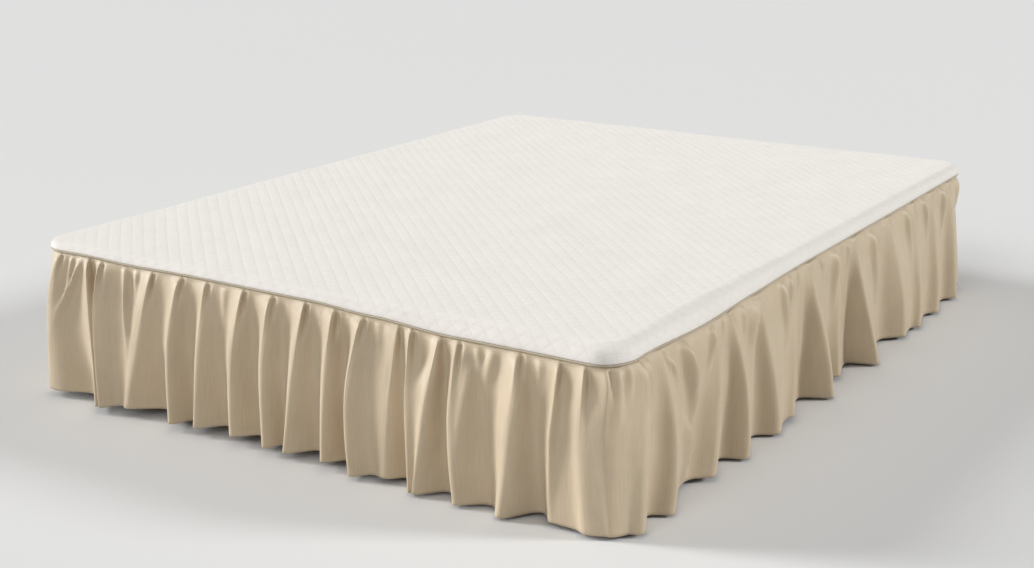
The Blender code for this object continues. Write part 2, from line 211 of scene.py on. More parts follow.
class NodeBoard:
    """The nodes of one procedural material."""

    def __init__(self, name: str) -> None:
        """Start a material with a Principled shader.

        Args:
            name: Name of the material.
        """
        self.material = bpy.data.materials.new(name)
        self.material.use_nodes = True
        self.nodes = self.material.node_tree.nodes
        self.links = self.material.node_tree.links
        self.shader = self.nodes["Principled BSDF"]

    def put(self, socket: Socket, value: Value) -> None:
        """Link a socket to another one, or set its number or colour.

        Args:
            socket: Input that takes the value.
            value: A socket to link from, or a plain value.
        """
        if isinstance(value, Socket):
            self.links.new(value, socket)
        else:
            socket.default_value = value

    def dress(self, inputs: dict[str, Value]) -> bpy.types.Material:
        """Set the shader's inputs.

        Args:
            inputs: Value or socket for each named input.

        Returns:
            The finished material.
        """
        for name, value in inputs.items():
            self.put(self.shader.inputs[name], value)
        return self.material

    def add(self, kind: str, inputs: dict, output: Union[int, str] = 0, **settings: str) -> Socket:
        """Add a node.

        Args:
            kind: Node type without its ShaderNode prefix.
            inputs: Value or socket for each named or numbered input.
            output: Which output to return.
            settings: Properties of the node.

        Returns:
            The chosen output socket.
        """
        node = self.nodes.new("ShaderNode" + kind)
        for key, setting in settings.items():
            setattr(node, key, setting)
        for key, value in inputs.items():
            self.put(node.inputs[key], value)
        return node.outputs[output]

    def math(self, operation: str, first: Value, second: Value = 0.0, third: Value = 0.0) -> Socket:
        """Add a Math node and return its result."""
        return self.add("Math", {0: first, 1: second, 2: third}, operation=operation)

    def wave(self, value: Value, length: float) -> Socket:
        """Sine wave of a value, with its length."""
        return self.math("SINE", self.math("MULTIPLY", value, 2.0 * math.pi / length))

    def raised(self, wave: Value) -> Socket:
        """Move a wave between -1 and 1 to between 0 and 1."""
        return self.math("MULTIPLY_ADD", wave, 0.5, 0.5)

    def blend(self, first: Value, second: Value, part: float) -> Socket:
        """Add two values, the first by its part and the second by the rest of one."""
        rest = self.math("MULTIPLY", second, 1.0 - part)
        return self.math("ADD", self.math("MULTIPLY", first, part), rest)

    def ramp(self, value: Value, low: float, high: float, start: float = 0.0, end: float = 1.0) -> Socket:
        """Map a value smoothly from one range to another.

        Args:
            value: The socket to map.
            low: Value that gives start.
            high: Value that gives end.
            start: Result at low.
            end: Result at high.

        Returns:
            The mapped value.
        """
        inputs = {"Value": value, "From Min": low, "From Max": high, "To Min": start, "To Max": end}
        return self.add("MapRange", inputs, interpolation_type="SMOOTHSTEP")

    def noise(self, vector: Value, scale: float, detail: float = 3.0, roughness: float = 0.55) -> Socket:
        """Add a noise texture and return its value."""
        inputs = {"Vector": vector, "Scale": scale, "Detail": detail, "Roughness": roughness}
        return self.add("TexNoise", inputs)

    def tint(self, factor: Value, low: Value, high: Value) -> Socket:
        """Blend from one colour to another as factor goes from 0 to 1.

        Args:
            factor: How much of the second colour there is.
            low: First colour, as three numbers or a socket.
            high: Second colour, as three numbers or a socket.

        Returns:
            The blended colour.
        """
        node = self.nodes.new("ShaderNodeMix")
        node.data_type = "RGBA"
        self.put(node.inputs[0], factor)
        for socket, colour in ((node.inputs[6], low), (node.inputs[7], high)):
            self.put(socket, colour if isinstance(colour, Socket) else (*colour, 1.0))
        return node.outputs[2]

    def shades(self, value: Value, spread: float, colour: Colour, dark: float, light: float) -> Socket:
        """Shade a colour by a noise.

        Args:
            value: The noise, with its middle at one half.
            spread: How far from its middle the shades reach their ends.
            colour: The colour itself.
            dark: Share of the colour at the low end.
            light: Share of the colour at the high end.

        Returns:
            The shaded colour.
        """
        factor = self.ramp(value, 0.5 - spread, 0.5 + spread)
        return self.tint(factor, shaded(colour, dark), shaded(colour, light))

    def bump(self, height: Value, depth: float, strength: float, normal: Value = None) -> Socket:
        """Add a bump of a real depth and return its normal.

        Args:
            height: Height between 0 and 1.
            depth: Depth that a height of 1 stands for.
            strength: How much of it shows.
            normal: Normal of a coarser bump underneath.

        Returns:
            The bumped normal.
        """
        inputs = {"Height": height, "Distance": depth, "Strength": strength}
        if normal is not None:
            inputs["Normal"] = normal
        return self.add("Bump", inputs)

    def uv(self) -> Socket:
        """The piece's own UV map."""
        return self.add("UVMap", {}, uv_map="cloth")

    def place(self) -> Socket:
        """The piece's object coordinates."""
        return self.add("TexCoord", {}, output="Object")

    def stretched(self, vector: Value, scale: Sequence[float]) -> Socket:
        """Scale a vector by a factor along each axis."""
        return self.add("Mapping", {"Vector": vector, "Scale": scale})

    def parts(self, vector: Value) -> tuple[Socket, Socket]:
        """Split off the first two coordinates of a vector.

        Args:
            vector: The vector.

        Returns:
            The two coordinates.
        """
        node = self.nodes.new("ShaderNodeSeparateXYZ")
        self.put(node.inputs[0], vector)
        return node.outputs[0], node.outputs[1]


@dataclass(frozen=True)
class WovenCotton:
    """Beige skirt cotton: a plain weave with faint slubs, a sewn hem and a soft sheen.

    Scales count features in a metre, along the strip and up it.
    """

    name: str = "beige_skirt_cotton"
    colour: Colour = (0.545, 0.440, 0.303)
    roughness: float = 0.46
    specular: float = 0.55
    sheen: float = 0.22
    sheen_roughness: float = 0.45
    sheen_tint: Colour = (1.0, 0.95, 0.87)
    slub_scale: tuple[float, ...] = (420.0, 16.0, 1.0)
    slub_part: float = 0.55
    cloud_scale: float = 9.0
    soft_scale: tuple[float, ...] = (160.0, 45.0, 1.0)
    soft_depth: float = 0.0012
    thread: float = 0.0009
    thread_depth: float = 0.00018
    hem_height: float = 0.020
    hem_width: float = 0.0022
    hem_depth: float = 0.0005

    def material(self) -> bpy.types.Material:
        """Build the material, which reads the cloth's own coordinates in metres.

        Returns:
            The material.
        """
        board = NodeBoard(self.name)
        uv = board.uv()
        across, up = board.parts(uv)
        slubs = board.noise(board.stretched(uv, self.slub_scale), 1.0, detail=4.0)
        tone = board.blend(slubs, board.noise(uv, self.cloud_scale), self.slub_part)
        warp = board.wave(across, self.thread)
        weft = board.wave(up, self.thread)
        weave = board.raised(board.math("MULTIPLY", warp, weft))
        from_hem = board.math("ABSOLUTE", board.math("SUBTRACT", up, self.hem_height))
        soft = board.noise(board.stretched(uv, self.soft_scale), 1.0)
        normal = board.bump(soft, self.soft_depth, strength=0.30)
        hem = board.ramp(from_hem, 0.0, self.hem_width)
        normal = board.bump(hem, self.hem_depth, strength=0.4, normal=normal)
        return board.dress({
            "Base Color": board.shades(tone, 0.16, self.colour, dark=0.94, light=1.06),
            "Roughness": self.roughness,
            "Specular IOR Level": self.specular,
            "Sheen Weight": self.sheen,
            "Sheen Roughness": self.sheen_roughness,
            "Sheen Tint": (*self.sheen_tint, 1.0),
            "Normal": board.bump(weave, self.thread_depth, strength=0.5, normal=normal),
        })


@dataclass(frozen=True)
class QuiltedCotton:
    """Cream panel cotton: a brushed face, stitch lines in two directions, small puckers beside them and
    painted shade along the lines.

    Widths are in quilt cells, scales count features in a cell, and depths are in metres.
    """

    name: str = "cream_quilted_cotton"
    colour: Colour = (0.768, 0.736, 0.690)
    thread_colour: Colour = (0.76, 0.73, 0.67)
    roughness: float = 0.88
    specular: float = 0.25
    sheen: float = 0.18
    sheen_roughness: float = 0.5
    sheen_tint: Colour = (1.0, 0.99, 0.97)
    stitches_per_cell: float = 9.0
    thread_half: float = 0.018
    thread_edge: float = 0.034
    stitch_gap: float = 0.06
    stitch_full: float = 0.16
    cloud_scale: float = 0.35
    # How far the painted shade beside the stitch lines reaches, in cells
    shade_width: float = 0.10
    groove_width: float = 0.16
    groove_depth: float = 0.0007
    pucker_scale: float = 9.0
    pucker_depth: float = 0.0010
    brushed_scale: float = 60.0
    brushed_depth: float = 0.0003
    thread_height: float = 0.0004

    def stitch_line(self, board: NodeBoard, over: Value, along: Value) -> tuple[Socket, Socket]:
        """Nodes of one family of stitch lines.

        Args:
            board: The material's nodes.
            over: Coordinate across the lines, which lie on its whole numbers.
            along: Coordinate along them.

        Returns:
            Distance from the nearest line in cells, and a mask of its thread.
        """
        gap = board.math("PINGPONG", over, 0.5)
        dash = board.math("FRACT", board.math("MULTIPLY", along, self.stitches_per_cell))
        on_line = board.ramp(gap, self.thread_half, self.thread_edge, 1.0, 0.0)
        in_dash = board.ramp(board.math("PINGPONG", dash, 0.5), self.stitch_gap, self.stitch_full)
        return gap, board.math("MULTIPLY", on_line, in_dash)

    def material(self) -> bpy.types.Material:
        """Build the material, which reads the quilt's own cells.

        Returns:
            The material.
        """
        board = NodeBoard(self.name)
        uv = board.uv()
        across, up = board.parts(uv)
        rising = board.math("ADD", across, up)
        falling = board.math("SUBTRACT", across, up)
        first_gap, first_thread = self.stitch_line(board, rising, falling)
        second_gap, second_thread = self.stitch_line(board, falling, rising)
        thread = board.math("MAXIMUM", first_thread, second_thread)
        gap = board.math("MINIMUM", first_gap, second_gap)
        clouds = board.noise(uv, self.cloud_scale, detail=4.0)
        cloth = board.shades(clouds, 0.15, self.colour, dark=0.985, light=1.010)
        # Painted shade: the cloth is darker right beside the stitch lines, where the grooves of the
        # quilting lie in shade
        groove_shade_mask = board.ramp(gap, 0.0, self.shade_width)
        groove_shaded_cloth = board.tint(groove_shade_mask, shaded(self.colour, 0.985), cloth)
        puckers = board.noise(uv, self.pucker_scale, detail=4.0, roughness=0.65)
        brushed = board.noise(uv, self.brushed_scale, detail=2.0)
        groove = board.ramp(gap, 0.0, self.groove_width)
        normal = board.bump(groove, self.groove_depth, strength=0.35)
        normal = board.bump(puckers, self.pucker_depth, strength=0.3, normal=normal)
        normal = board.bump(brushed, self.brushed_depth, strength=0.35, normal=normal)
        return board.dress({
            "Base Color": board.tint(thread, groove_shaded_cloth, self.thread_colour),
            "Roughness": self.roughness,
            "Specular IOR Level": self.specular,
            "Sheen Weight": self.sheen,
            "Sheen Roughness": self.sheen_roughness,
            "Sheen Tint": (*self.sheen_tint, 1.0),
            "Normal": board.bump(thread, self.thread_height, strength=0.6, normal=normal),
        })


@dataclass(frozen=True)
class CordCotton:
    """Cotton bias tape over the seam cord, with a slanting weave; its darker taupe is partly the tape's
    own colour and partly painted shade of the seam under the panel's lip.
    """

    name: str = "seam_cord_cotton"
    # Darker taupe: partly the tape's own colour, partly painted shade of the seam under the panel's lip
    colour: Colour = (0.470, 0.405, 0.300)
    roughness: float = 0.85
    sheen: float = 0.2
    threads_along: float = 900.0
    threads_around: float = 6.0
    thread_depth: float = 0.0004
    worn_scale: tuple[float, ...] = (40.0, 2.0, 1.0)

    def material(self) -> bpy.types.Material:
        """Build the material, which reads the place along the cord and round it.

        Returns:
            The material.
        """
        board = NodeBoard(self.name)
        uv = board.uv()
        along, around = board.parts(uv)
        slant_along = board.math("MULTIPLY", along, self.threads_along)
        slant_around = board.math("MULTIPLY", around, self.threads_around)
        twill = board.raised(board.math("SINE", board.math("ADD", slant_along, slant_around)))
        worn = board.noise(board.stretched(uv, self.worn_scale), 1.0)
        return board.dress({
            "Base Color": board.shades(worn, 0.2, self.colour, dark=0.88, light=1.12),
            "Roughness": self.roughness,
            "Sheen Weight": self.sheen,
            "Normal": board.bump(twill, self.thread_depth, strength=0.6),
        })


@dataclass(frozen=True)
class TickingCloth:
    """Pale woven ticking of the mattress, with fine stripes."""

    name: str = "mattress_ticking_cloth"
    colour: Colour = (0.78, 0.77, 0.74)
    stripe_colour: Colour = (0.66, 0.66, 0.65)
    stripe_pitch: float = 0.024
    stripe_half: float = 0.0012
    stripe_edge: float = 0.0020
    roughness: float = 0.9
    weave_scale: float = 900.0
    weave_depth: float = 0.0004

    def material(self) -> bpy.types.Material:
        """Build the material, which reads object coordinates.

        Returns:
            The material.
        """
        board = NodeBoard(self.name)
        place = board.place()
        across, _ = board.parts(place)
        from_stripe = board.math("PINGPONG", across, self.stripe_pitch / 2.0)
        stripe = board.ramp(from_stripe, self.stripe_half, self.stripe_edge, 1.0, 0.0)
        weave = board.noise(place, self.weave_scale, detail=2.0)
        return board.dress({
            "Base Color": board.tint(stripe, self.colour, self.stripe_colour),
            "Roughness": self.roughness,
            "Normal": board.bump(weave, self.weave_depth, strength=0.4),
        })


@dataclass(frozen=True)
class SealedBoard:
    """Plain sealed board of the bed base, with a long grain."""

    name: str = "base_sealed_board"
    colour: Colour = (0.42, 0.30, 0.19)
    grain_scale: tuple[float, ...] = (38.0, 1.6, 38.0)
    grain_part: float = 0.75
    pore_scale: tuple[float, ...] = (260.0, 7.0, 260.0)
    pore_depth: float = 0.0004
    smoothest: float = 0.46
    roughest: float = 0.62

    def material(self) -> bpy.types.Material:
        """Build the material, which reads object coordinates.

        Returns:
            The material.
        """
        board = NodeBoard(self.name)
        place = board.place()
        grain = board.noise(board.stretched(place, self.grain_scale), 1.0, detail=6.0, roughness=0.62)
        pores = board.noise(board.stretched(place, self.pore_scale), 1.0)
        tone = board.blend(grain, pores, self.grain_part)
        return board.dress({
            "Base Color": board.shades(tone, 0.15, self.colour, dark=0.72, light=1.15),
            "Roughness": board.ramp(pores, 0.3, 0.7, self.smoothest, self.roughest),
            "Normal": board.bump(pores, self.pore_depth, strength=0.35),
        })


@dataclass(frozen=True)
class StudioFloor:
    """Pale, even studio floor."""

    name: str = "pale_floor"
    colour: Colour = (0.72, 0.72, 0.715)
    roughness: float = 0.95
    specular: float = 0.1
    cloud_scale: float = 0.8

    def material(self) -> bpy.types.Material:
        """Build the material, which reads object coordinates.

        Returns:
            The material.
        """
        board = NodeBoard(self.name)
        clouds = board.noise(board.place(), self.cloud_scale, detail=2.0)
        return board.dress({
            "Base Color": board.tint(clouds, shaded(self.colour, 0.995), self.colour),
            "Roughness": self.roughness,
            "Specular IOR Level": self.specular,
        })


@dataclass(frozen=True)
class Outline:
    """The bed's outline in plan, with round corners."""

    width: float
    length: float
    corner_radius: float = 0.060

    @property
    def half(self) -> float:
        """Length of half of the outline."""
        return self.width + self.length

    @property
    def full(self) -> float:
        """Length of the whole outline."""
        return 2.0 * self.half

    def point(self, place: np.ndarray, reach: np.ndarray) -> Pair:
        """Find plan points on or beside the outline.

        Args:
            place: Places along the outline, any number of turns.
            reach: Distances outside the mattress side, of the same shape.

        Returns:
            The x and the y of each point.
        """
        lengths = np.array([self.width, self.length, self.width, self.length])
        starts = np.array([0.0, self.width, self.half, self.half + self.width])
        corner_x = np.array([-1.0, 1.0, 1.0, -1.0]) * self.width / 2.0
        corner_y = np.array([-1.0, -1.0, 1.0, 1.0]) * self.length / 2.0
        place = np.mod(place, self.full)
        side = np.searchsorted(starts, place, side="right") - 1
        along = place - starts[side]
        far = lengths[side] - self.corner_radius
        to_start = np.clip(self.corner_radius - along, 0.0, None) / self.corner_radius
        to_end = np.clip(along - far, 0.0, None) / self.corner_radius
        lean = math.radians(45.0) * (to_end - to_start)
        along = np.clip(along, self.corner_radius, far) + (self.corner_radius + reach) * np.sin(lean)
        inward = self.corner_radius - (self.corner_radius + reach) * np.cos(lean)
        cosine = np.array([1.0, 0.0, -1.0, 0.0])[side]
        sine = np.array([0.0, 1.0, 0.0, -1.0])[side]
        x = corner_x[side] + along * cosine - inward * sine
        y = corner_y[side] + along * sine + inward * cosine
        return x, y


class SeamPoint(NamedTuple):
    """Height of the seam at a place along the outline."""

    place: float
    height: float


@dataclass(frozen=True)
class SeamLine:
    """The seam between panel and skirt, which rises and dips along the edge."""

    outline: Outline
    points: tuple[SeamPoint, ...] = (
        SeamPoint(0.00, 0.356), SeamPoint(0.15, 0.357), SeamPoint(0.28, 0.354), SeamPoint(0.45, 0.356),
        SeamPoint(0.78, 0.354), SeamPoint(0.95, 0.346), SeamPoint(1.13, 0.336), SeamPoint(1.30, 0.336),
        SeamPoint(1.46, 0.335), SeamPoint(1.60, 0.339), SeamPoint(1.84, 0.330), SeamPoint(2.06, 0.337),
        SeamPoint(2.31, 0.342), SeamPoint(2.90, 0.343), SeamPoint(3.50, 0.346), SeamPoint(4.10, 0.341),
        SeamPoint(4.90, 0.346), SeamPoint(5.60, 0.342), SeamPoint(6.40, 0.347), SeamPoint(6.80, 0.350),
    )

    def height(self, place: np.ndarray) -> np.ndarray:
        """Height of the seam at each place, eased between the points of the table.

        Args:
            place: Places along the outline.

        Returns:
            The heights.
        """
        places = np.array([point.place for point in self.points] + [self.outline.full])
        heights = np.array([point.height for point in self.points] + [self.points[0].height])
        place = np.mod(place, self.outline.full)
        after = np.clip(np.searchsorted(places, place, side="right"), 1, len(places) - 1)
        share = (place - places[after - 1]) / (places[after] - places[after - 1])
        return between(heights[after - 1], heights[after], ease(share))


@dataclass(frozen=True)
class QuiltedPanel:
    """The cream panel: a flat top in small stitched diamonds, rolled over the edge down to the seam.

    The flat top is a grid that ends inset from the mattress side. Rings of points lead from there
    over the roll to the rim over the cord, and back under the cloth as its plain inner face.
    """

    outline: Outline
    seam: SeamLine
    top: float

    # The cloth, and how far under the outer face its inner one lies on the roll, and by which rings
    thickness: float = 0.0040
    inner_share: float = 0.8
    inner_rings: tuple[int, ...] = (9, 8, 5, 0)

    # The grid of the flat top, with so many of its columns and rows to a quilt cell
    inset: float = 0.030
    columns: int = 234
    rows: int = 315
    cells: int = 6

    # The height of the diamonds, how soon they reach it, and how they fade towards the rim
    puff: float = 0.00065
    fullness: float = 2.4
    near_fade: float = 0.010
    near_part: float = 0.60
    far_fade: float = 0.050

    # How far the roll stands out, its radius as a length or a share of the drop, and its normals
    lip: float = 0.0085
    largest_roll: float = 0.037
    roll_share: float = 0.93
    roll_angles: tuple[float, ...] = (0.0, 9.0, 18.0, 28.0, 38.0, 49.0, 61.0, 74.0, 88.0)

    # How the roll's lower end curls in to the rim over the cord
    curl: float = 0.0045
    curl_angles: tuple[float, ...] = (120.0, 150.0)
    curl_shares: tuple[float, ...] = (0.55, 1.0)
    rim_reach: float = 0.0058
    cord_radius: float = 0.0021

    # Slow and quicker swells of the cloth on the mattress
    sag: float = 0.0016
    slow_waves: float = 4.0
    quick_waves: float = 11.0
    quick_part: float = 0.6

    # Small puckers that the seam draws into the roll
    pucker: float = 0.0007
    pucker_waves: float = 42.0
    pucker_down: float = 12.0
    pucker_start: float = 0.004
    pucker_width: float = 0.030

    def lines(self) -> Pair:
        """Find the lines of the flat top's grid.

        Returns:
            The x of its columns' lines and the y of its rows' lines.
        """
        half_x = self.outline.width / 2.0 - self.inset
        half_y = self.outline.length / 2.0 - self.inset
        xs = np.linspace(-half_x, half_x, self.columns + 1)
        return xs, np.linspace(-half_y, half_y, self.rows + 1)

    def edge_places(self, along: np.ndarray, half: float) -> np.ndarray:
        """Places, from the middle of a side, where the quilt's lines meet the start of the roll.

        Args:
            along: Distance of each line from the middle of the side.
            half: Half of the side's length.

        Returns:
            Distance along the outline from the middle of the side.
        """
        straight = half - self.outline.corner_radius
        small = self.outline.corner_radius - self.inset
        over = np.clip((np.abs(along) - straight) / small, 0.0, 1.0)
        bent = self.outline.corner_radius * np.arcsin(over / math.sqrt(2.0)) / math.radians(45.0)
        return np.sign(along) * (np.minimum(np.abs(along), straight) + bent)

    def grid(self) -> Pair:
        """Plan points of the flat top, with its corners pressed round.

        Returns:
            The x and y of each point, in rows from the foot to the head.
        """
        x, y = np.meshgrid(*self.lines())
        radius = self.outline.corner_radius
        small = radius - self.inset
        over_x = np.clip((np.abs(x) - self.outline.width / 2.0 + radius) / small, 0.0, 1.0)
        over_y = np.clip((np.abs(y) - self.outline.length / 2.0 + radius) / small, 0.0, 1.0)
        x = x - np.sign(x) * small * over_x * (1.0 - np.sqrt(1.0 - over_y ** 2 / 2.0))
        y = y - np.sign(y) * small * over_y * (1.0 - np.sqrt(1.0 - over_x ** 2 / 2.0))
        return x, y

    def cell_units(self, x: np.ndarray, y: np.ndarray) -> Pair:
        """Coordinates in quilt cells: stitch lines lie where their sum or difference is whole.

        Args:
            x: Plan x of the unrolled cloth.
            y: Plan y of the unrolled cloth.

        Returns:
            The two coordinates.
        """
        xs, ys = self.lines()
        step_x = (xs[-1] - xs[0]) / self.columns * self.cells
        step_y = (ys[-1] - ys[0]) / self.rows * self.cells
        return (x - xs[0]) / step_x, (y - ys[0]) / step_y

    def quilting(self, u: np.ndarray, v: np.ndarray) -> np.ndarray:
        """Height of the puffed diamonds over the stitch lines.

        Args:
            u: First coordinate in quilt cells.
            v: Second coordinate in quilt cells.

        Returns:
            Height above the stitch lines.
        """
        rising = np.abs((u + v) - np.round(u + v)) * 2.0
        falling = np.abs((u - v) - np.round(u - v)) * 2.0
        pillow = (1.0 - (1.0 - rising) ** self.fullness) * (1.0 - (1.0 - falling) ** self.fullness)
        return self.puff * pillow

    def roll_profile(self, place: np.ndarray) -> tuple[np.ndarray, ...]:
        """Cross-sections of the rolled edge, from the flat top to the rim over the cord.

        Args:
            place: Places along the outline, one for each cross-section.

        Returns:
            Reach, height, outward part and upward part of the normal, each as rings of points.
        """
        rim = self.seam.height(place) + self.cord_radius
        radius = np.minimum(self.largest_roll, self.roll_share * (self.top - rim))
        low = np.minimum(self.top - radius, rim + self.curl)
        roll = np.radians(self.roll_angles)[:, None]
        curl = np.radians(self.curl_angles)[:, None]
        shares = np.array(self.curl_shares)[:, None]
        inward = (self.lip - self.rim_reach) * shares ** 2
        curled = np.repeat(self.lip - inward, len(place), axis=1)
        reach = np.vstack([self.lip - radius + radius * np.sin(roll), curled])
        height = np.vstack([self.top - radius + radius * np.cos(roll), between(low, rim, shares)])
        angles = np.repeat(np.vstack([roll, curl]), len(place), axis=1)
        return reach, height, np.sin(angles), np.cos(angles)

    def border(self) -> Pair:
        """Grid numbers and outline places of the flat top's border, in order round the bed.

        Returns:
            Point numbers in the grid, and the place of each.
        """
        across = self.columns + 1
        foot = np.arange(self.columns)
        right = np.arange(self.rows) * across + self.columns
        head = self.rows * across + np.arange(self.columns, 0, -1)
        left = np.arange(self.rows, 0, -1) * across
        xs, ys = self.lines()
        half_x = self.outline.width / 2.0
        half_y = self.outline.length / 2.0
        along_x = (self.edge_places(xs, half_x) + half_x)[:-1]
        along_y = (self.edge_places(ys, half_y) + half_y)[:-1] + self.outline.width
        half_turn = np.concatenate([along_x, along_y])
        places = np.concatenate([half_turn, half_turn + self.outline.half])
        return np.concatenate([foot, right, head, left]), places

    def swell(self, x: np.ndarray, y: np.ndarray) -> np.ndarray:
        """Slow rises and dips of the cloth on the mattress.

        Args:
            x: The x of each point.
            y: The y of each point.

        Returns:
            The added height.
        """
        slow = soft_noise(x * self.slow_waves, y * self.slow_waves, seed=3.1)
        quick = soft_noise(x * self.quick_waves, y * self.quick_waves, seed=8.7)
        return self.sag * (slow + self.quick_part * quick)

    def rings(self, places: np.ndarray) -> Pair:
        """Points of the rolled edge on the outer face.

        Args:
            places: Place of each border point.

        Returns:
            Points and quilt coordinates, ring by ring.
        """
        reach, height, out, up = self.roll_profile(places)
        steps = np.hypot(np.diff(reach, axis=0), np.diff(height, axis=0))
        first = reach[0] + self.inset
        travel = np.concatenate([[first], first + np.cumsum(steps, axis=0)])
        to_rim = travel[-1] - travel
        places = np.broadcast_to(places, travel.shape)
        u, v = self.cell_units(*self.outline.point(places, travel - self.inset))
        fade = between(ease(to_rim / self.far_fade), ease(to_rim / self.near_fade), self.near_part)
        down = travel * self.pucker_down
        wave = round_noise(places, self.outline.full, self.pucker_waves, down, seed=5.5)
        drawn = ease(to_rim / self.pucker_start) * np.exp(-to_rim / self.pucker_width)
        raised = self.quilting(u, v) * fade + self.pucker * wave * drawn
        x, y = self.outline.point(places, reach + out * raised)
        z = height + up * raised + np.clip(up, 0.0, 1.0) * self.swell(x, y)
        return np.stack([x, y, z], axis=-1), np.stack([u, v], axis=-1)

    def underside(self, places: np.ndarray) -> np.ndarray:
        """Points of the plain inner face, from the rim back to the flat part.

        Args:
            places: Place of each border point.

        Returns:
            Points, ring by ring.
        """
        picked = list(self.inner_rings)
        reach, height, out, up = (part[picked] for part in self.roll_profile(places))
        depth = self.thickness * self.inner_share
        flat = np.ones((1, len(places)))
        reach = np.vstack([reach - out * depth, -self.inset * flat])
        height = np.vstack([height - up * depth, (self.top - self.thickness) * flat])
        x, y = self.outline.point(np.broadcast_to(places, reach.shape), reach)
        return np.stack([x, y, height], axis=-1)

    def top_faces(self) -> Faces:
        """Split the flat top into triangles, along the stitch lines where they cross a quad.

        Returns:
            The triangles.
        """
        i, j = np.meshgrid(np.arange(self.columns), np.arange(self.rows))
        i, j = i.ravel(), j.ravel()
        a = j * (self.columns + 1) + i
        b, c, d = a + 1, a + self.columns + 2, a + self.columns + 1
        on_rising = ((i - j) % self.cells == 0)[:, None]
        first = np.where(on_rising, np.stack([a, b, c], 1), np.stack([a, b, d], 1))
        second = np.where(on_rising, np.stack([a, c, d], 1), np.stack([b, c, d], 1))
        return np.concatenate([first, second]).tolist()

    def build(self) -> bpy.types.Object:
        """Build the panel as one closed sheet.

        Returns:
            The panel.
        """
        x, y = self.grid()
        u, v = self.cell_units(x, y)
        z = self.top + self.quilting(u, v) + self.swell(x, y)
        flat = np.stack([x, y, z], axis=-1).reshape(-1, 3)
        flat_uv = np.stack([u, v], axis=-1).reshape(-1, 2)
        border, places = self.border()
        outer, outer_uv = self.rings(places)
        inner = self.underside(places)
        inner_uv = np.broadcast_to(outer_uv[-1], inner.shape[:2] + (2,))
        points = np.concatenate([flat, outer.reshape(-1, 3), inner.reshape(-1, 3)])
        uvs = np.concatenate([flat_uv, outer_uv.reshape(-1, 2), inner_uv.reshape(-1, 2)])
        ring_count = len(outer) + len(inner)
        rings = [border, *(len(flat) + np.arange(ring_count * len(places)).reshape(ring_count, -1))]
        faces = self.top_faces()
        for upper, lower in zip(rings, rings[1:]):
            faces += ring_quads(upper, lower)
        faces.append(rings[-1][::-1].tolist())
        panel = mesh_piece("quilted_panel", points, faces, uvs)
        panel.data.materials.append(QuiltedCotton().material())
        return panel

    def flat_size(self) -> tuple[float, float]:
        """Measure what the panel was cut to, round the roll and down to the seam.

        Returns:
            Its width and length.
        """
        _, places = self.border()
        reach, height, _, _ = self.roll_profile(places)
        steps = np.hypot(np.diff(reach, axis=0), np.diff(height, axis=0)).sum(axis=0)
        over = float((steps + reach[0]).mean())
        return round(self.outline.width + 2.0 * over, 3), round(self.outline.length + 2.0 * over, 3)


@dataclass(frozen=True)
class SeamCord:
    """The thin covered cord in the seam: a closed tube that follows the seam's height."""

    outline: Outline
    seam: SeamLine
    radius: float = 0.0021
    reach: float = 0.0062
    wobble: float = 0.00025
    wobble_waves: float = 30.0
    points: int = 1400
    sides: int = 10

    def build(self) -> bpy.types.Object:
        """Build the cord.

        Returns:
            The cord.
        """
        place = np.linspace(0.0, self.outline.full, self.points, endpoint=False)
        angle = np.linspace(0.0, 2.0 * math.pi, self.sides, endpoint=False)
        place, angle = np.meshgrid(place, angle, indexing="ij")
        level = np.zeros_like(place)
        wobble = self.wobble * round_noise(place, self.outline.full, self.wobble_waves, level, seed=2.2)
        x, y = self.outline.point(place, self.reach + wobble + self.radius * np.cos(angle))
        z = self.seam.height(place) + wobble + self.radius * np.sin(angle)
        points = np.stack([x, y, z], axis=-1).reshape(-1, 3)
        uvs = np.stack([place, angle], axis=-1).reshape(-1, 2)
        numbers = np.arange(self.points * self.sides).reshape(self.points, self.sides)
        ahead = np.roll(numbers, -1, axis=0)
        turned = [np.roll(ahead, -1, axis=1), np.roll(numbers, -1, axis=1)]
        faces = np.stack([numbers, ahead, *turned], axis=-1)
        cord = mesh_piece("seam_cord_tube", points, faces.reshape(-1, 4).tolist(), uvs)
        cord.data.materials.append(CordCotton().material())
        return cord


class Fold(NamedTuple):
    """One gather of the skirt.

    seam, middle and hem are the places of its crest at the heading, half way down and at the hem.
    reach is how far the crest stands out at the hem, dip how far the hollow after it does there,
    lift is the height of the hem at the crest, and soft is the width over which the crest is round.
    """

    seam: float
    middle: float
    hem: float
    reach: float
    dip: float
    lift: float
    soft: float


class Crease(NamedTuple):
    """A short soft ridge in the cloth, or a trough where its height is less than nothing.

    It runs from one place and level to another, with a width across and a height that fades to
    nothing at both ends.
    """

    start: float
    top: float
    end: float
    bottom: float
    width: float
    height: float


class Ripple(NamedTuple):
    """A family of soft waves in the cloth.

    height is how far they stand out, waves how many there are in a metre and down how fast they
    change towards the hem. seed chooses the pattern. They have grown to their full height at the
    level start and die away below over the level fade. Bunched ones are strong in some stretches of
    the seam and weak in others.
    """

    height: float
    waves: float
    down: float
    seed: float
    start: float
    fade: float = math.inf
    bunched: bool = False


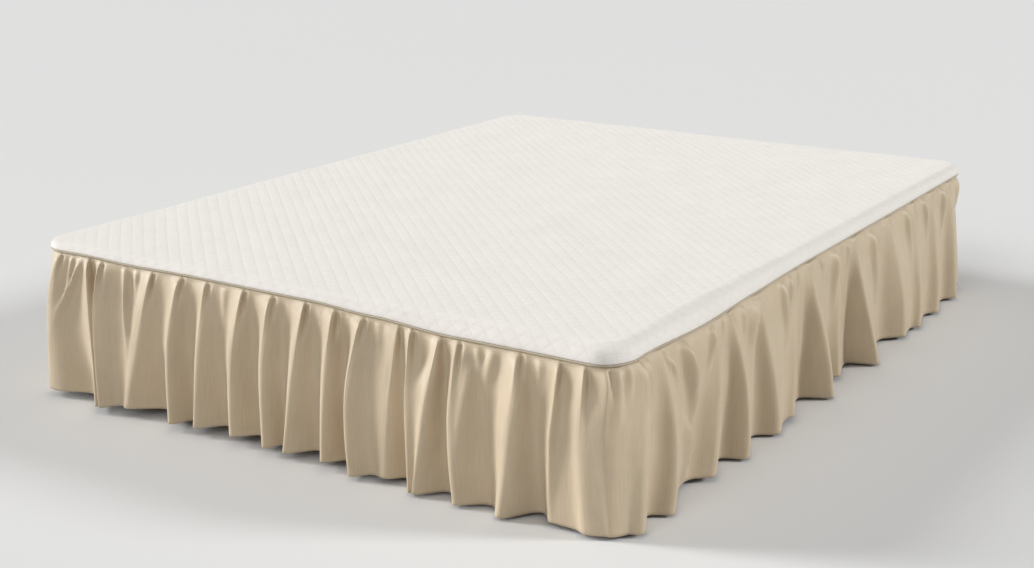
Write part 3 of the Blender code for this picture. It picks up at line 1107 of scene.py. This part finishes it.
# The gathers along the foot and the right side, as the photograph shows them
SEEN_FOLDS = (
    Fold(0.060, 0.020, -0.004, 0.038, -0.014, 0.018, 0.014),
    Fold(0.150, 0.172, 0.181, 0.044, 0.034, 0.018, 0.006),
    Fold(0.190, 0.184, 0.193, 0.046, 0.018, 0.018, 0.006),
    Fold(0.343, 0.303, 0.261, 0.030, -0.022, 0.024, 0.015),
    Fold(0.429, 0.408, 0.405, 0.042, -0.008, 0.020, 0.011),
    Fold(0.503, 0.488, 0.472, 0.036, -0.012, 0.022, 0.012),
    Fold(0.605, 0.585, 0.580, 0.038, -0.010, 0.026, 0.015),
    Fold(0.684, 0.671, 0.674, 0.042, 0.000, 0.021, 0.015),
    Fold(0.771, 0.750, 0.725, 0.038, -0.012, 0.018, 0.015),
    Fold(0.849, 0.838, 0.830, 0.040, -0.014, 0.022, 0.014),
    Fold(0.920, 0.900, 0.909, 0.048, 0.020, 0.011, 0.012),
    Fold(1.008, 0.990, 0.978, 0.026, -0.012, 0.014, 0.022),
    Fold(1.040, 1.046, 1.055, 0.046, 0.040, 0.008, 0.006),
    Fold(1.108, 1.088, 1.065, 0.048, 0.000, 0.008, 0.016),
    Fold(1.150, 1.149, 1.166, 0.047, 0.008, 0.008, 0.010),
    Fold(1.288, 1.287, 1.268, 0.050, -0.010, 0.006, 0.021),
    Fold(1.377, 1.367, 1.372, 0.024, 0.021, 0.011, 0.014),
    Fold(1.432, 1.438, 1.452, 0.032, 0.030, 0.008, 0.012),
    Fold(1.478, 1.482, 1.492, 0.034, 0.030, 0.008, 0.020),
    Fold(1.562, 1.550, 1.537, 0.045, 0.004, 0.008, 0.009),
    Fold(1.645, 1.675, 1.645, 0.046, -0.002, 0.006, 0.012),
    Fold(1.915, 1.885, 1.848, 0.038, 0.000, 0.012, 0.012),
    Fold(1.953, 1.988, 1.982, 0.051, 0.002, 0.007, 0.011),
    Fold(2.088, 2.132, 2.150, 0.048, 0.030, 0.007, 0.012),
    Fold(2.302, 2.266, 2.250, 0.038, -0.006, 0.014, 0.010),
    Fold(2.372, 2.395, 2.434, 0.060, -0.002, 0.006, 0.013),
    Fold(2.566, 2.560, 2.570, 0.022, -0.006, 0.012, 0.009),
    Fold(2.652, 2.664, 2.722, 0.063, -0.001, 0.006, 0.012),
    Fold(2.882, 2.936, 2.968, 0.046, 0.033, 0.009, 0.010),
    Fold(3.070, 3.074, 3.070, 0.052, 0.024, 0.009, 0.011),
    Fold(3.214, 3.222, 3.228, 0.048, 0.017, 0.008, 0.012),
    Fold(3.365, 3.372, 3.395, 0.045, 0.000, 0.008, 0.010),
)

# Short creases near the heading, and a few lower down
SEEN_CREASES = (
    Crease(0.132, 0.00, 0.030, 0.52, 0.011, 0.016),
    Crease(0.100, 0.00, 0.072, 0.30, 0.009, 0.010),
    Crease(0.262, 0.00, 0.272, 0.62, 0.011, 0.014),
    Crease(0.281, 0.01, 0.286, 0.16, 0.008, -0.007),
    Crease(0.300, 0.00, 0.294, 0.15, 0.009, 0.006),
    Crease(0.556, 0.00, 0.545, 0.30, 0.016, 0.005),
    Crease(0.960, 0.00, 0.952, 0.30, 0.014, 0.005),
    Crease(1.185, 0.10, 1.168, 0.88, 0.022, 0.012),
    Crease(1.230, 0.00, 1.205, 0.38, 0.018, 0.010),
    Crease(1.196, 0.00, 1.206, 0.22, 0.012, 0.006),
    Crease(1.335, 0.00, 1.330, 0.30, 0.014, 0.006),
    Crease(1.379, 0.02, 1.366, 0.96, 0.012, 0.013),
    Crease(1.505, 0.00, 1.498, 0.34, 0.014, 0.010),
    Crease(1.532, 0.00, 1.520, 0.22, 0.010, 0.007),
    Crease(1.590, 0.00, 1.600, 0.40, 0.014, 0.012),
    Crease(1.676, 0.06, 1.706, 0.26, 0.012, 0.011),
    Crease(1.736, 0.00, 1.780, 0.66, 0.021, 0.030),
    Crease(1.712, 0.46, 1.786, 1.00, 0.026, 0.022),
    Crease(1.868, 0.00, 1.860, 0.30, 0.012, 0.011),
    Crease(2.075, 0.04, 2.030, 0.80, 0.022, 0.016),
    Crease(2.010, 0.00, 2.024, 0.26, 0.012, 0.009),
    Crease(2.215, 0.00, 2.225, 0.50, 0.018, 0.014),
    Crease(2.262, 0.00, 2.250, 0.24, 0.010, 0.008),
    Crease(2.440, 0.00, 2.452, 0.16, 0.010, -0.008),
    Crease(2.520, 0.00, 2.540, 0.45, 0.020, 0.014),
    Crease(2.612, 0.00, 2.606, 0.20, 0.010, 0.007),
    Crease(2.760, 0.02, 2.800, 0.75, 0.022, 0.017),
    Crease(3.010, 0.00, 3.040, 0.45, 0.016, 0.012),
    Crease(3.150, 0.00, 3.165, 0.40, 0.014, 0.011),
    Crease(3.300, 0.00, 3.312, 0.40, 0.014, 0.012),
    Crease(3.440, 0.00, 3.430, 0.35, 0.016, 0.009),
)

# Levels of the skirt's rows of points, closer together under the seam and at the hem
SKIRT_LEVELS = (
    0.0, 0.014, 0.030, 0.048, 0.070, 0.096, 0.126, 0.160, 0.200, 0.245, 0.295, 0.350, 0.410,
    0.475, 0.545, 0.620, 0.700, 0.780, 0.855, 0.915, 0.955, 0.980, 1.0,
)

# Thin streaks, the slow drape, the cloth bunched under the seam and the broad waves below it
RIPPLES = (
    Ripple(0.0006, 58.0, 1.3, 7.9, 0.05),
    Ripple(0.0030, 12.0, 1.8, 1.3, 0.25),
    Ripple(0.0024, 62.0, 5.0, 6.1, 0.03, 0.10, bunched=True),
    Ripple(0.0034, 26.0, 3.0, 4.4, 0.06, 0.30),
)


class Columns(NamedTuple):
    """The columns of the skirt's strip.

    before and after number the folds on either side of each column, share is how far it lies from
    one to the other, and chance an even spread from 0 to 1 over the folds. place, spacing and side
    have a row for each level: the column's place, the distance between the two crests, and how far
    the column has come from an end of the bed to a long side.
    """

    before: np.ndarray
    after: np.ndarray
    share: np.ndarray
    chance: np.ndarray
    place: np.ndarray
    spacing: np.ndarray
    side: np.ndarray


@dataclass(frozen=True)
class GatheredSkirt:
    """The beige skirt: one long strip gathered into the seam, hanging in uneven folds.

    Between two crests the cloth falls to a hollow on flat flanks with round ends. The crests burst out
    under the seam and grow on more slowly. On the long sides they grow evenly instead. Shares are of
    a crest's reach or of the distance between two crests.
    """

    outline: Outline
    seam: SeamLine

    # The cloth, its heading under the cord, and how near and far behind the seam it may lie
    thickness: float = 0.0011
    heading: float = 0.006
    heading_share: float = 0.45
    cord_gap: float = 0.0026
    inner: float = 0.0034
    deepest: float = 0.020

    # How far from the corners a long side begins and ends, and how gently
    foot_turn: float = 0.06
    head_turn: float = 0.04
    turn_length: float = 0.12

    # How the crests grow from the seam down
    start_share: float = 0.17
    burst_share: float = 0.62
    burst_level: float = 0.034
    growth_level: float = 0.18
    side_burst: float = 0.45
    shoulder_share: float = 0.74

    # How full the hollows are under the seam, and from where they swing free
    side_puff: float = 0.008
    foot_puff: float = 0.005
    puff_level: float = 0.09
    puff_start: float = 0.20
    puff_run: float = 0.50
    free_level: float = 0.45
    full_level: float = 0.35

    # How round the crests and hollows are, and how steep the flanks
    seam_round: float = 0.004
    hollow_round: float = 0.010
    hollow_share: float = 0.24
    rising_share: float = 0.34
    rising_bend: float = 0.60
    falling_bend: float = 0.48
    steepest: float = 0.90

    # Where the hollow lies between two crests
    seam_valley: float = 0.46
    middle_valley: float = 0.50
    hem_valley: float = 0.61
    side_valley: float = 0.72
    valley_level: float = 0.42
    flank_width: float = 0.040
    least_flank: float = 0.06

    # The small trough after each crest
    trough_place: float = 0.0085
    trough_width: float = 0.0055
    trough_depth: float = 0.0100
    trough_start: float = 0.02
    trough_level: float = 0.28
    heading_trough: float = 0.15
    side_trough: float = 0.4

    # How the cloth bunches in some stretches of the seam
    bunch_waves: float = 5.0
    bunch_mean: float = 0.6
    bunch_swing: float = 0.9
    least_bunch: float = 0.1
    most_bunch: float = 1.4

    # How early a crease is highest and how sharp its sides are
    crease_peak: float = 0.55
    crease_edge: float = 2.2

    # How far the crests lean along the seam, and down to which level
    seam_lean: float = 0.35
    lean_level: float = 0.50

    # How many columns the strip has, on the seen and the hidden sides, closer together at the crests
    fewest_columns: int = 13
    columns_per_metre: float = 235.0
    fewest_hidden: int = 9
    hidden_per_metre: float = 100.0
    crowding: float = 0.55
    crowded_width: float = 0.070

    def folds(self) -> list[Fold]:
        """The seen gathers, and again half way round for the hidden sides.

        Returns:
            The gathers in order round the bed.
        """
        half = self.outline.half
        hidden = []
        for fold in SEEN_FOLDS:
            moved = {"seam": fold.seam + half, "middle": fold.middle + half, "hem": fold.hem + half}
            hidden.append(fold._replace(**moved))
        return [*SEEN_FOLDS, *hidden]

    def creases(self) -> list[Crease]:
        """The short creases, and again half way round for the hidden sides.

        Returns:
            The creases.
        """
        half = self.outline.half
        hidden = [c._replace(start=c.start + half, end=c.end + half) for c in SEEN_CREASES]
        return [*SEEN_CREASES, *hidden]

    def crest_places(self, levels: np.ndarray) -> np.ndarray:
        """Place of each crest at each level, through its three places.

        Args:
            levels: Levels down the skirt.

        Returns:
            One row for each fold and one for the first fold again, with a column for each level.
        """
        table = np.array([[f.seam, f.middle, f.hem] for f in self.folds()])
        table = np.vstack([table, table[:1] + self.outline.full])
        v = levels[None, :]
        seam, middle, hem = table[:, :1], table[:, 1:2], table[:, 2:]
        return seam * (1 - v) * (1 - 2 * v) + middle * 4 * v * (1 - v) + hem * v * (2 * v - 1)

    def column_plan(self) -> Pair:
        """Share the columns among the gaps between crests.

        Returns:
            The fold before each column, and how far the column lies towards the next fold.
        """
        crests = self.crest_places(np.array([0.0, 0.5, 1.0]))
        widths = np.diff(crests, axis=0).mean(axis=1)
        before, shares = [], []
        for number, width in enumerate(widths):
            if number < len(SEEN_FOLDS):
                count = self.fewest_columns + round(width * self.columns_per_metre)
            else:
                count = self.fewest_hidden + round(width * self.hidden_per_metre)
            turn = np.arange(count) / count
            crowding = self.crowding * min(1.0, self.crowded_width / width)
            before += [number] * count
            shares += list(turn - crowding * np.sin(2.0 * math.pi * turn) / (2.0 * math.pi))
        return np.array(before), np.array(shares)

    def columns(self, levels: np.ndarray) -> Columns:
        """Lay the columns out at every level.

        Args:
            levels: Levels down the skirt.

        Returns:
            The columns.
        """
        crests = self.crest_places(levels)
        before, share = self.column_plan()
        after = (before + 1) % len(self.folds())
        spacing = (crests[before + 1] - crests[before]).T
        place = crests[before].T + spacing * share
        turned = np.mod(place, self.outline.half)
        from_foot = turned - self.outline.width - self.foot_turn
        to_head = self.outline.half - self.head_turn - turned
        side = ease(from_foot / self.turn_length) * ease(to_head / self.turn_length)
        chance = np.mod(before * EVEN_STEP, 1.0)
        return Columns(before, after, share, chance, place, spacing, side)

    def flanks(self, columns: Columns, v: np.ndarray) -> tuple[np.ndarray, ...]:
        """Find which flank of a fold each point lies on.

        Args:
            columns: The strip's columns.
            v: Level of each row.

        Returns:
            Whether the flank rises to the crest after it, the distance from the flank's crest, and
            the distance from that crest to the hollow.
        """
        valley = between(self.middle_valley, self.hem_valley, ease(2.0 * v - 1.0))
        valley = between(valley, self.side_valley, columns.side)
        settled = ease(v / self.valley_level)
        pocket = between(self.seam_valley, valley, settled)
        narrow = np.maximum(1.0 - self.flank_width / columns.spacing, self.seam_valley + self.least_flank)
        flank = between(narrow, valley, settled)
        rising = columns.share > (pocket + flank) / 2.0
        gap = np.where(rising, 1.0 - columns.share, columns.share) * columns.spacing
        return rising, gap, np.where(rising, 1.0 - flank, pocket) * columns.spacing

    def growth(self, columns: Columns, v: np.ndarray) -> np.ndarray:
        """Share of its reach that a crest has at each level.

        Args:
            columns: The strip's columns.
            v: Level of each row.

        Returns:
            The shares.
        """
        varied = self.burst_share * between(0.75, 1.25, columns.chance)
        early = varied * (1.0 - self.side_burst * columns.side)
        burst = early * (1.0 - np.exp(-v / self.burst_level))
        burst = burst + (1.0 - early) * (1.0 - np.exp(-v / self.growth_level))
        shoulder = between(self.start_share, 1.0, burst) * between(self.shoulder_share, 1.0, v)
        even = between(self.start_share, 1.0, np.sin(math.pi / 2.0 * v))
        return between(shoulder, even, columns.side)

    def hollows(self, columns: Columns, v: np.ndarray, shoulder: np.ndarray) -> np.ndarray:
        """Reach of the hollow between two crests.

        Args:
            columns: The strip's columns.
            v: Level of each row.
            shoulder: Share of its reach that a crest has.

        Returns:
            The reaches.
        """
        bowed = np.array([f.dip for f in self.folds()])[columns.before] - self.inner
        free = ease((v - self.free_level) / (1.0 - self.free_level))
        hollow = self.inner + np.minimum(bowed, 0.0) * free
        hollow = hollow + np.maximum(bowed, 0.0) * shoulder * ease(v / self.full_level)
        past_pocket = ease((columns.share - self.puff_start) / self.puff_run) * (1.0 - columns.side)
        puffed = v / self.puff_level * np.exp(1.0 - v / self.puff_level)
        return hollow + (self.side_puff * columns.side + self.foot_puff * past_pocket) * puffed

    def profile(self, gap: np.ndarray, width: np.ndarray, soft: np.ndarray,
                rising: np.ndarray) -> np.ndarray:
        """Share of the crest's height at a distance from it: a flat flank, round at both ends.

        Args:
            gap: Distance from the crest.
            width: Distance from the crest to the hollow.
            soft: Distance over which the crest is round.
            rising: Whether the flank rises to the crest after it, where it bends for longer.

        Returns:
            1 at the crest and 0 in the hollow.
        """
        crest = np.minimum(soft / width, np.where(rising, 1.0 - self.rising_bend, self.falling_bend))
        hollow = self.hollow_round / width + np.where(rising, self.rising_share, self.hollow_share)
        hollow = np.minimum(hollow, np.where(rising, self.rising_bend, self.falling_bend))
        share = np.clip(gap / width, 0.0, 1.0)
        near = share ** 2 / (2.0 * crest)
        flank = share - crest / 2.0
        whole = 1.0 - crest / 2.0 - hollow / 2.0
        far = whole - (1.0 - share) ** 2 / (2.0 * hollow)
        drop = np.where(share < crest, near, np.where(share > 1.0 - hollow, far, flank))
        return 1.0 - drop / whole

    def crease_height(self, place: np.ndarray, level: np.ndarray) -> np.ndarray:
        """Height that the short creases add.

        Args:
            place: Places along the outline.
            level: Levels, of the same shape.

        Returns:
            The added reach.
        """
        added = np.zeros_like(place)
        half = self.outline.half
        for crease in self.creases():
            down = np.clip((level - crease.top) / (crease.bottom - crease.top), 0.0, 1.0)
            gap = np.mod(place - between(crease.start, crease.end, down) + half, self.outline.full) - half
            rise = np.sin(np.pi * down ** self.crease_peak) * (down < 1.0)
            added += crease.height * rise * np.exp(-((gap / crease.width) ** 2) * self.crease_edge)
        return added

    def trough_depths(self, columns: Columns, v: np.ndarray) -> np.ndarray:
        """Depth of the small trough after each crest, under the seam.

        Args:
            columns: The strip's columns.
            v: Level of each row.

        Returns:
            The depths.
        """
        varied = between(0.7, 1.3, columns.chance)
        gap = (columns.share * columns.spacing - self.trough_place) / self.trough_width
        begun = ease(self.heading_trough + v / self.trough_start)
        ended = ease(v / (self.trough_level * varied))
        on_side = between(1.0, self.side_trough, columns.side)
        return self.trough_depth * varied * np.exp(-gap ** 2) * begun * (1.0 - ended) * on_side

    def ripple_height(self, place: np.ndarray, level: np.ndarray) -> np.ndarray:
        """Height that the ripples add.

        Args:
            place: Places along the outline.
            level: Levels, of the same shape.

        Returns:
            The added reach.
        """
        full = self.outline.full
        uneven = round_noise(place, full, self.bunch_waves, np.zeros_like(place), seed=9.4)
        bunches = np.clip(self.bunch_mean + self.bunch_swing * uneven, self.least_bunch, self.most_bunch)
        added = np.zeros_like(place)
        for ripple in RIPPLES:
            wave = round_noise(place, full, ripple.waves, level * ripple.down, ripple.seed)
            height = ripple.height * ease(level / ripple.start) * np.exp(-level / ripple.fade)
            added += height * wave * (bunches if ripple.bunched else 1.0)
        return added

    def surface(self) -> tuple[np.ndarray, ...]:
        """Place, reach and height of every point of the cloth's middle.

        Returns:
            The three values, a row for each level and a column for each column of the cloth.
        """
        levels = np.array(SKIRT_LEVELS)
        v = levels[:, None]
        columns = self.columns(levels)
        before, after, share = columns.before, columns.after, columns.share
        level = np.broadcast_to(v, columns.place.shape)
        reach, lift, soft = np.array([[f.reach, f.lift, f.soft] for f in self.folds()]).T
        rising, gap, width = self.flanks(columns, v)
        shoulder = self.growth(columns, v)
        crest_before = between(self.inner, reach[before], shoulder)
        crest_after = between(self.inner, reach[after], shoulder)
        crest = np.where(rising, crest_after, crest_before)
        shallow = np.minimum(crest_before, crest_after) - self.steepest * columns.spacing
        hollow = np.maximum(self.hollows(columns, v, shoulder), shallow)
        soft = np.where(rising, soft[after], soft[before])
        soft = between(self.seam_round, soft, ease(v / self.full_level))
        out = between(hollow, crest, self.profile(gap, width, soft, rising))
        out = out + self.crease_height(columns.place, level) - self.trough_depths(columns, v)
        out = out + self.ripple_height(columns.place, level)
        out = np.maximum(out, np.where(v < self.free_level, self.inner, -self.deepest))
        leaning = self.seam_lean * (1.0 - columns.side) * (1.0 - ease(v / self.lean_level))
        place = columns.place + leaning * (out - self.inner)
        top = self.seam.height(place) - self.cord_gap - self.heading
        return place, out, between(top, between(lift[before], lift[after], ease(share)), v)

    def cloth_coordinates(self, x: np.ndarray, y: np.ndarray, z: np.ndarray) -> np.ndarray:
        """Distance along the strip, and up from the hem, of every point.

        Args:
            x: The x of each point, a row for each level.
            y: The y of each point.
            z: The z of each point.

        Returns:
            The pairs of distances.
        """
        along = np.hypot(np.diff(x[-1], append=x[-1, :1]), np.diff(y[-1], append=y[-1, :1]))
        across = np.concatenate([[0.0], np.cumsum(along)[:-1]])
        steps = np.sqrt(np.diff(x, axis=0) ** 2 + np.diff(y, axis=0) ** 2 + np.diff(z, axis=0) ** 2)
        below = np.cumsum(steps[::-1], axis=0)[::-1]
        up = np.concatenate([below, np.zeros((1, x.shape[1]))])
        return np.stack([np.broadcast_to(across, up.shape), up], axis=-1)

    def points(self) -> tuple[np.ndarray, ...]:
        """All points of the cloth's middle, the heading's edge first.

        Returns:
            The x, y and z of each, a row for each level.
        """
        place, out, height = self.surface()
        edge = self.seam.height(place[:1]) - self.cord_gap
        edge_reach = between(self.inner, out[:1], self.heading_share)
        x, y = self.outline.point(np.vstack([place[:1], place]), np.vstack([edge_reach, out]))
        return x, y, np.vstack([edge, height])

    def build(self) -> bpy.types.Object:
        """Build the skirt and give its cloth a thickness.

        Returns:
            The skirt.
        """
        x, y, z = self.points()
        uvs = self.cloth_coordinates(x, y, z)
        numbers = np.arange(x.size).reshape(x.shape)
        faces = []
        for upper, lower in zip(numbers, numbers[1:]):
            faces += ring_quads(upper, lower)
        points = np.stack([x, y, z], axis=-1)
        skirt = mesh_piece("gathered_skirt", points.reshape(-1, 3), faces, uvs.reshape(-1, 2))
        skirt.data.materials.append(WovenCotton().material())
        cloth = skirt.modifiers.new("cloth", "SOLIDIFY")
        cloth.thickness = self.thickness
        cloth.offset = 0.0
        choose(skirt)
        bpy.ops.object.modifier_apply(modifier=cloth.name)
        return skirt

    def flat_size(self) -> tuple[float, float]:
        """Measure the strip.

        Returns:
            Its length along the hem, and its depth from the seam to the hem.
        """
        x, y, z = self.points()
        uvs = self.cloth_coordinates(x, y, z)
        closing = math.hypot(x[-1, 0] - x[-1, -1], y[-1, 0] - y[-1, -1])
        return round(float(uvs[0, -1, 0]) + closing, 3), round(float(uvs[0, :, 1].mean()), 3)


@dataclass(frozen=True)
class Mattress:
    """The plain mattress: a block with round corners in plan and soft edges above and below."""

    corner_radius: float = 0.060
    corner_steps: int = 10
    edge_radius: float = 0.027
    edge_steps: int = 7
    sharpest: float = 40.0

    def build(self) -> bpy.types.Object:
        """Build the mattress in the place of its solid.

        Returns:
            The mattress.
        """
        low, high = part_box("mattress")
        bpy.ops.object.select_all(action="DESELECT")
        bpy.ops.mesh.primitive_cube_add(size=1.0, location=(low + high) / 2)
        mattress = bpy.context.active_object
        mattress.name = "mattress_pad"
        mattress.scale = high - low
        bpy.ops.object.transform_apply(location=True, rotation=True, scale=True)
        bpy.ops.object.mode_set(mode="EDIT")
        bpy.ops.mesh.select_mode(type="EDGE")
        bpy.ops.mesh.select_all(action="DESELECT")
        bpy.ops.object.mode_set(mode="OBJECT")
        tall = (high.z - low.z) / 2
        for edge in mattress.data.edges:
            first, second = (mattress.data.vertices[v].co for v in edge.vertices)
            edge.select = abs(first.z - second.z) > tall
        bpy.ops.object.mode_set(mode="EDIT")
        bpy.ops.mesh.bevel(offset=self.corner_radius, segments=self.corner_steps, affect="EDGES")
        bpy.ops.object.mode_set(mode="OBJECT")
        edges = mattress.modifiers.new("edges", "BEVEL")
        edges.limit_method = "ANGLE"
        edges.angle_limit = math.radians(self.sharpest)
        edges.width = self.edge_radius
        edges.segments = self.edge_steps
        bpy.ops.object.modifier_apply(modifier=edges.name)
        mattress.data.materials.append(TickingCloth().material())
        bpy.ops.object.shade_smooth_by_angle(angle=math.radians(self.sharpest))
        return mattress


@dataclass(frozen=True)
class BedBase:
    """The plain base on the floor, whose solid is kept as it is."""

    node: str = "bed_base"

    def build(self) -> bpy.types.Object:
        """Dress the solid in its board.

        Returns:
            The base.
        """
        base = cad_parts[self.node]
        base.data.materials.clear()
        base.data.materials.append(SealedBoard().material())
        return base


@dataclass(frozen=True)
class Lamp:
    """A far, soft studio lamp, with its strength in watts per square metre and its spread in degrees."""

    name: str
    place: tuple[float, float, float]
    strength: float
    spread: float

    def build(self, target: tuple[float, float, float]) -> bpy.types.Object:
        """Hang the lamp and turn it to its target.

        Args:
            target: Point that it shines at.

        Returns:
            The lamp.
        """
        data = bpy.data.lights.new(self.name, "SUN")
        data.energy = self.strength
        data.angle = math.radians(self.spread)
        lamp = bpy.data.objects.new(self.name, data)
        lamp.location = self.place
        lamp.rotation_euler = (Vector(target) - Vector(self.place)).to_track_quat("-Z", "Y").to_euler()
        bpy.context.scene.collection.objects.link(lamp)
        return lamp


@dataclass(frozen=True)
class Studio:
    """Pale floor, soft lights and the camera at the photograph's angle."""

    eye: tuple[float, float, float] = (2.068, -3.430, 1.280)
    azimuth: float = 32.30
    elevation: float = 15.87
    sensor: float = 36.0
    focal_length: float = 55.93
    farthest: float = 400.0
    floor_size: float = 240.0
    world_strength: float = 0.12
    target: tuple[float, float, float] = (0.0, -0.2, 0.2)
    lamps: tuple[Lamp, ...] = (
        Lamp("key_lamp", (-8.0, -3.2, 5.4), 1.35, 14.0),
        Lamp("window_lamp", (-9.3, -3.2, 2.2), 2.05, 16.0),
        Lamp("top_lamp", (1.8, -2.8, 8.0), 0.72, 110.0),
        Lamp("right_lamp", (8.2, 4.3, 4.4), 2.05, 12.0),
        Lamp("front_lamp", (-0.4, -9.0, 4.8), 0.61, 22.0),
    )

    def build_camera(self) -> None:
        """Set up the camera."""
        data = bpy.data.cameras.new("photo_camera")
        data.sensor_width = self.sensor
        data.lens = self.focal_length
        data.clip_end = self.farthest
        camera = bpy.data.objects.new("photo_camera", data)
        camera.location = self.eye
        camera.rotation_euler = (math.radians(90.0 - self.elevation), 0.0, math.radians(self.azimuth))
        bpy.context.scene.collection.objects.link(camera)
        bpy.context.scene.camera = camera

    def build_floor(self) -> None:
        """Lay the floor just under the bed."""
        bpy.ops.object.select_all(action="DESELECT")
        bpy.ops.mesh.primitive_plane_add(size=self.floor_size, location=(0.0, 0.0, 0.0))
        floor = bpy.context.active_object
        floor.name = "studio_floor"
        bpy.ops.object.transform_apply(location=True, rotation=True, scale=True)
        floor.data.materials.append(StudioFloor().material())

    def build(self) -> None:
        """Build the camera, the floor, the lights and the sky."""
        scene = bpy.context.scene
        scene.view_settings.view_transform = "Standard"
        self.build_camera()
        self.build_floor()
        for lamp in self.lamps:
            lamp.build(self.target)
        world = bpy.data.worlds.new("studio_sky")
        world.use_nodes = True
        sky = world.node_tree.nodes["Background"]
        sky.inputs["Color"].default_value = (1.0, 1.0, 1.0, 1.0)
        sky.inputs["Strength"].default_value = self.world_strength
        scene.world = world


def main() -> None:
    """Build every piece in order and report it."""
    logging.basicConfig(level=logging.INFO, format="%(name)s: %(message)s")
    low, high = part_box("mattress")
    outline = Outline(width=high.x - low.x, length=high.y - low.y)
    seam = SeamLine(outline)
    Studio().build()

    mattress = Mattress().build()
    attach(mattress, Slot.MATTRESS, "mattress")
    LOG.info("mattress: %s", mattress.name)

    LOG.info("base: %s", BedBase().build().name)

    cord = SeamCord(outline, seam).build()
    attach(cord, Slot.CORD, "piping")
    LOG.info("cord: %s", cord.name)

    panel = QuiltedPanel(outline, seam, top=high.z + QuiltedPanel.thickness + CLOTH_GAP)
    sheet = panel.build()
    attach(sheet, Slot.PANEL, "top_panel")
    panel.flat_size()
    LOG.info("panel: %s, flat size %s", sheet.name, panel.flat_size())

    skirt = GatheredSkirt(outline, seam)
    strip = skirt.build()
    attach(strip, Slot.SKIRT, "skirt")
    skirt.flat_size()
    LOG.info("skirt: %s, flat size %s", strip.name, skirt.flat_size())


if __name__ == "__main__":
    main()
